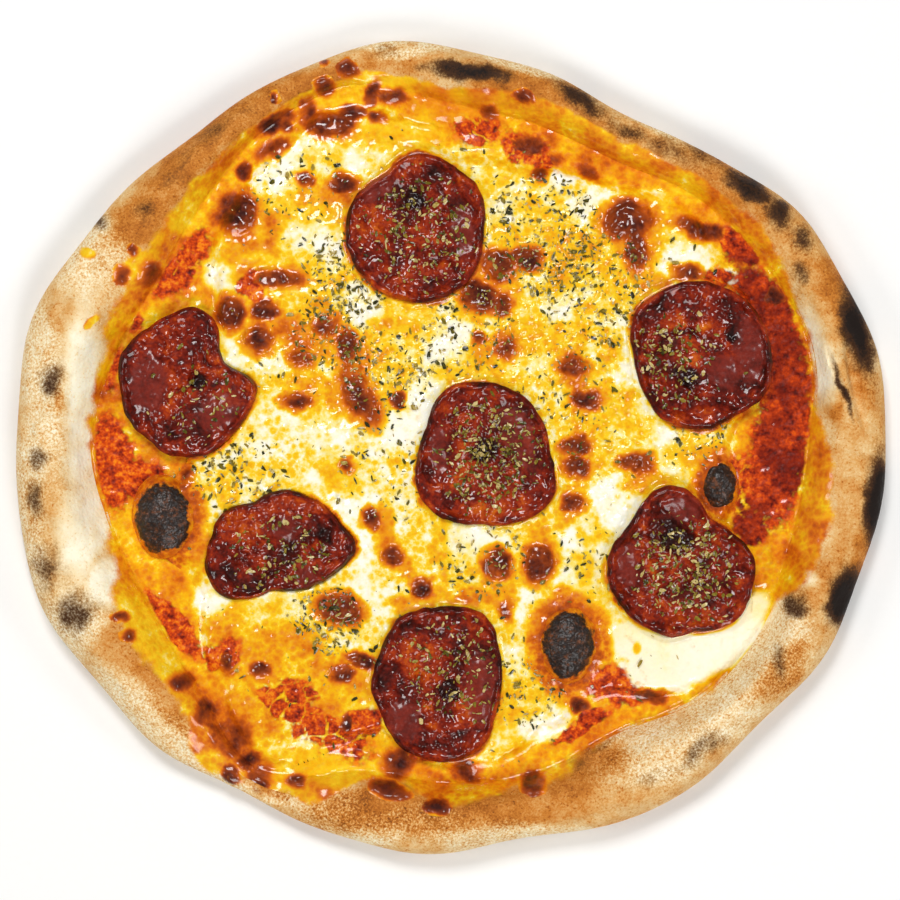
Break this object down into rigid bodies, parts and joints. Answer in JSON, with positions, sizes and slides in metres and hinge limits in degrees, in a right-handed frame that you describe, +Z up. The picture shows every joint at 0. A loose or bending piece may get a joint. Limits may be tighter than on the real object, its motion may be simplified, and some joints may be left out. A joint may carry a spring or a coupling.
{
  "type": "pepperoni pizza",
  "caption": "Round wood-fired pizza with a puffed charred rim, melted mozzarella over tomato sauce, cured salami slices and dried herbs.",
  "frame": {"origin": "middle of the flat underside, under the middle of the pizza's box", "axes": "+X along the long way across, to the right in the picture; +Y to the picture's top; +Z up, through the toppings"},
  "size_m": [0.2983, 0.2789, 0.0207],
  "materials": {
    "crust": "baked wheat dough, dusted with flour, toasted and charred in spots",
    "sauce": "moist cooked tomato sauce",
    "cheese": "melted mozzarella, oily, with browned blisters",
    "salami": "baked cured salami with a film of fat"
  },
  "bodies": {
    "root": {"crust": "crust", "tomato_sauce": "sauce", "mozzarella": "cheese", "pepperoni_1": "salami", "pepperoni_2": "salami", "pepperoni_3": "salami", "pepperoni_4": "salami", "pepperoni_5": "salami", "pepperoni_6": "salami", "pepperoni_7": "salami"}
  },
  "joints": []
}
